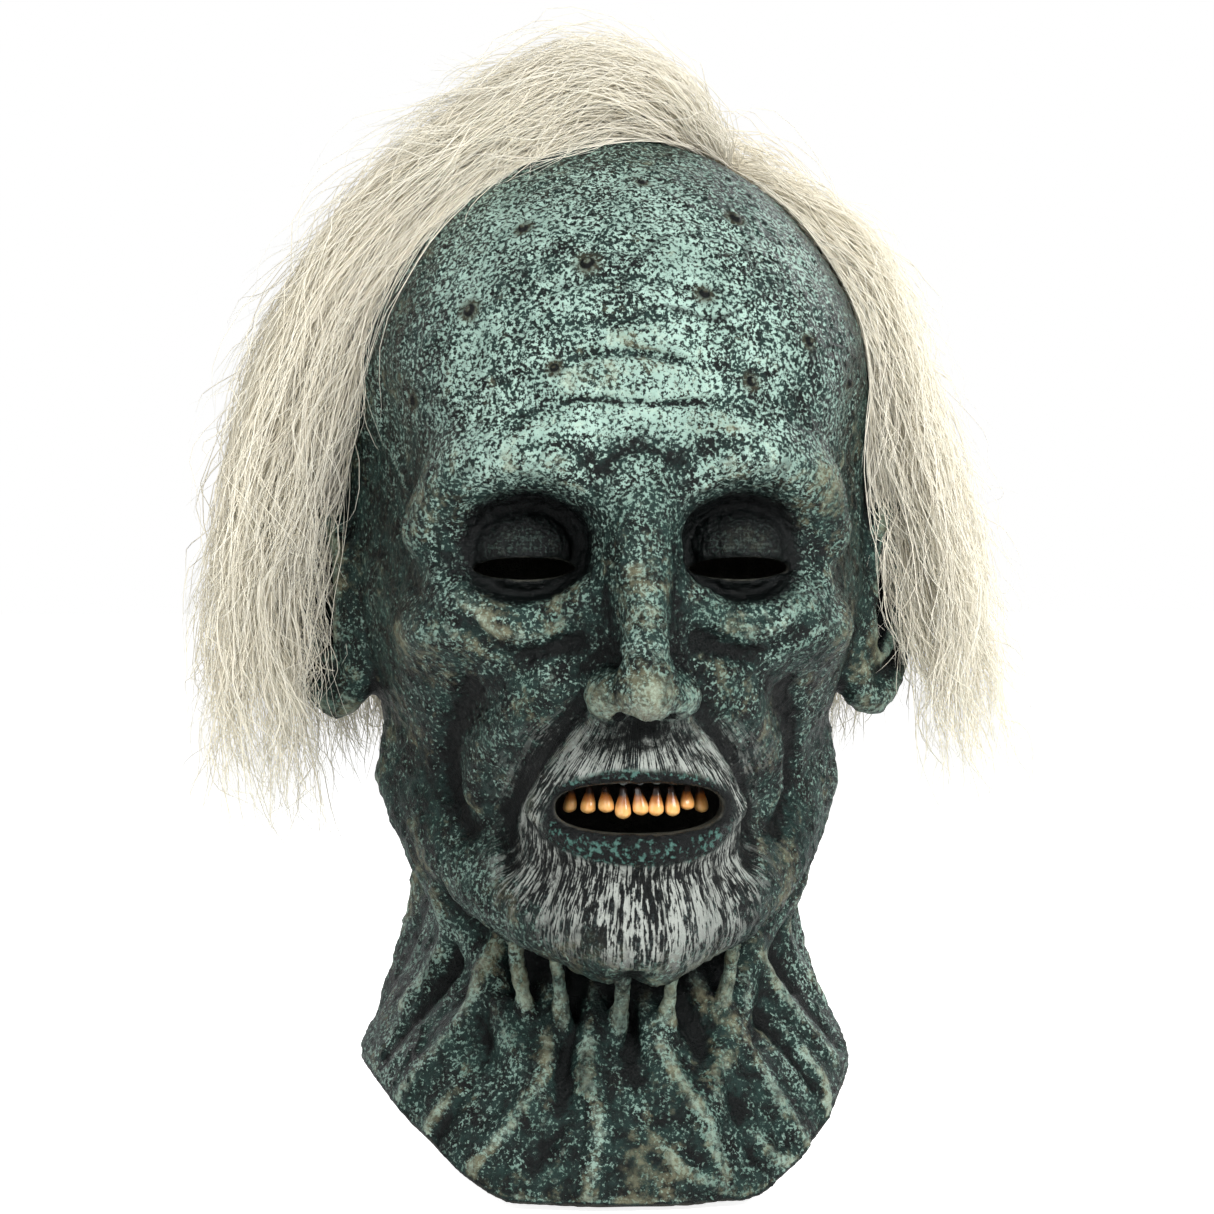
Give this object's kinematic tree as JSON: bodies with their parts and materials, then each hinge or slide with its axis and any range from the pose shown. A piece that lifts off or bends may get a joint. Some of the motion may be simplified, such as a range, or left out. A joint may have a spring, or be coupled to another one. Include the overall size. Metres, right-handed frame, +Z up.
{
  "type": "full head latex mask",
  "caption": "Full-head latex mask with sunken painted eye sockets, amber teeth, arched neck bib and long pale hair bound to tapes on the scalp.",
  "frame": {"origin": "on the resting plane under the middle of the whole mask", "axes": "+Z up through the crown, the face looks along -Y, +X is the viewer's right"},
  "size_m": [0.2704, 0.2662, 0.3858],
  "materials": {
    "painted_latex": "cast latex, mottled verdigris paint under a black wash, pale dry-brushed edges, semi-gloss",
    "gum_latex": "black glossy painted latex",
    "tooth_enamel": "amber painted resin with dark brown roots, glossy",
    "woven_tape": "woven cotton tape, matt",
    "hair_fibre": "creamy off-white wool-like crepe hair, soft sheen"
  },
  "bodies": {
    "root": {"latex_skin": "painted_latex", "upper_gum": "gum_latex", "upper_tooth_01": "tooth_enamel", "upper_tooth_02": "tooth_enamel", "upper_tooth_03": "tooth_enamel", "upper_tooth_04": "tooth_enamel", "upper_tooth_05": "tooth_enamel", "upper_tooth_06": "tooth_enamel", "upper_tooth_07": "tooth_enamel", "upper_tooth_08": "tooth_enamel", "upper_tooth_09": "tooth_enamel", "weft_tape_front": "woven_tape", "weft_tape_middle": "woven_tape", "weft_tape_nape": "woven_tape", "hair_crown_tuft": "hair_fibre", "hair_left_front": "hair_fibre", "hair_left_back": "hair_fibre", "hair_back_left": "hair_fibre", "hair_back_centre": "hair_fibre", "hair_back_right": "hair_fibre", "hair_right_back": "hair_fibre", "hair_right_front": "hair_fibre"}
  },
  "joints": []
}
